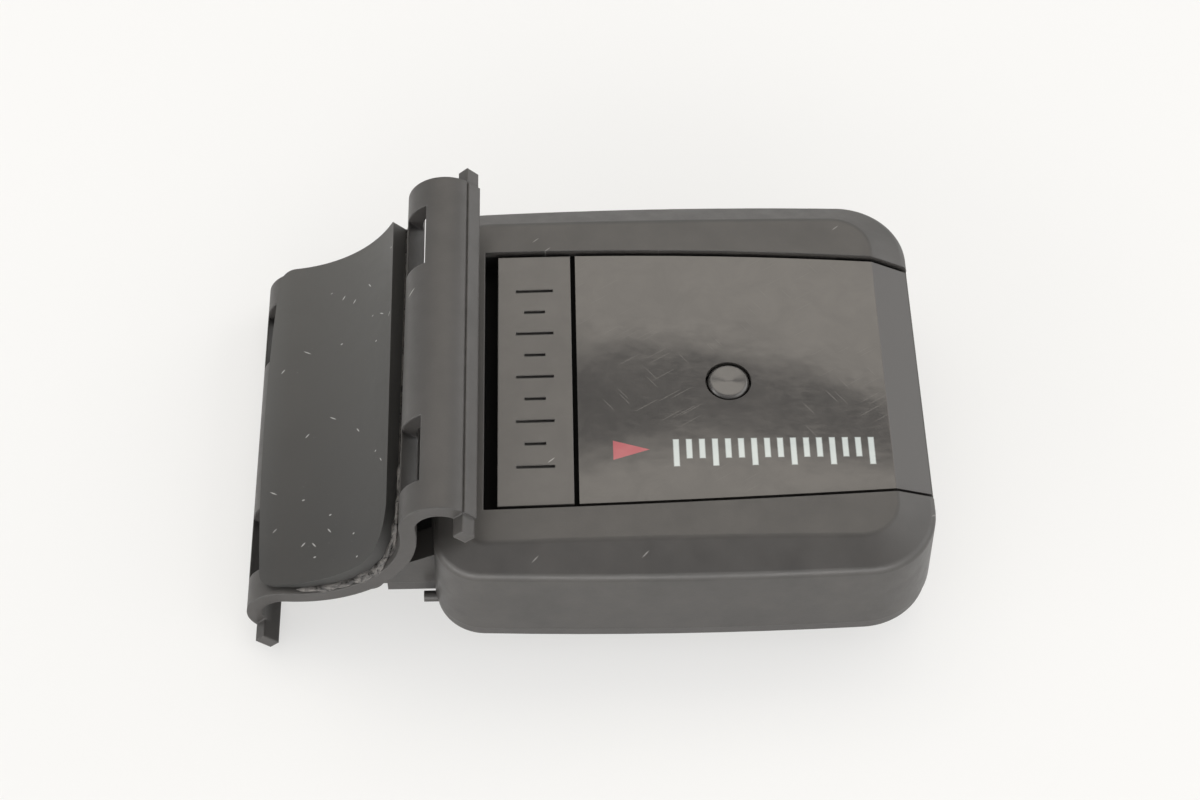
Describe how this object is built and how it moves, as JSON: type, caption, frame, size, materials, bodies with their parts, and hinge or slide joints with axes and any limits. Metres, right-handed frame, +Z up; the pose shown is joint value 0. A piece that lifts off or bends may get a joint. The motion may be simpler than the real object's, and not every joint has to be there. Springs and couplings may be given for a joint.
{
  "type": "wireless wheel speed transmitter",
  "caption": "Rounded box transmitter for a bicycle computer with a pushbutton, a coin cell cover below, and a padded saddle bracket that swivels on a pin to fit a fork blade.",
  "frame": {"origin": "centre of the battery cover's lower face, on the plane the part stands on", "axes": "+X along the transmitter away from the bracket, +Y along the hinge pin and the fork blade, +Z up out of the button's face"},
  "size_m": [0.0613, 0.0412, 0.0207],
  "materials": {
    "shell_plastic": "fine matt texture, rubbed on the edges",
    "plate_plastic": "fine matt texture",
    "panel_gloss": "metallic grey gloss with printed alignment marks",
    "strip_plastic": "satin, with an engraved scale",
    "button_plastic": "satin",
    "bracket_plastic": "fine matt texture, scuffed",
    "pad_rubber": "smooth matt rubber with lint",
    "adhesive_film": "dark tacky residue",
    "seal_rubber": "smooth",
    "washer_plastic": "smooth",
    "steel": "bright, fine brushed",
    "cell_metal": "nickel-like, fine brushed",
    "board_laminate": "solder-masked",
    "chip_plastic": "fine matt",
    "capacitor_body": "smooth",
    "reed_glass": "clear with a green tint",
    "antenna_metal": "plain"
  },
  "bodies": {
    "transmitter": {"housing_shell": "shell_plastic", "base_plate": "plate_plastic", "gloss_panel": "panel_gloss", "label_strip": "strip_plastic", "case_gasket": "seal_rubber", "button_seal": "seal_rubber", "friction_washers": "washer_plastic", "hinge_pin": "steel", "case_screws": "steel", "timing_crystal": "steel", "reed_leads": "steel", "side_contact": "steel", "top_contact": "steel", "coin_cell": "cell_metal", "circuit_board": "board_laminate", "radio_chip": "chip_plastic", "tact_switch": "chip_plastic", "chip_capacitors": "capacitor_body", "reed_switch": "reed_glass", "antenna_strip": "antenna_metal"},
    "bracket": {"fork_bracket": "bracket_plastic", "rubber_pad": "pad_rubber", "pad_adhesive": "adhesive_film"},
    "button": {"button_cap": "button_plastic", "switch_plunger": "button_plastic"},
    "cover": {"battery_cover": "plate_plastic", "battery_cover_seal": "seal_rubber"}
  },
  "joints": [
    {"name": "bracket_swivel", "type": "hinge", "parent": "transmitter", "child": "bracket", "pos_m": [-0.0286, 0, 0.0046], "axis": [0, -1, 0], "range_deg": [-3.5, 80]},
    {"name": "button_press", "type": "slide", "parent": "transmitter", "child": "button", "axis": [0, 0, -1], "range_m": [0, 0.0004], "stiffness_N_per_m": 3000},
    {"name": "battery_cover_turn", "type": "hinge", "parent": "transmitter", "child": "cover", "pos_m": [0, 0, 0], "axis": [0, 0, -1], "range_deg": [0, 60]}
  ]
}
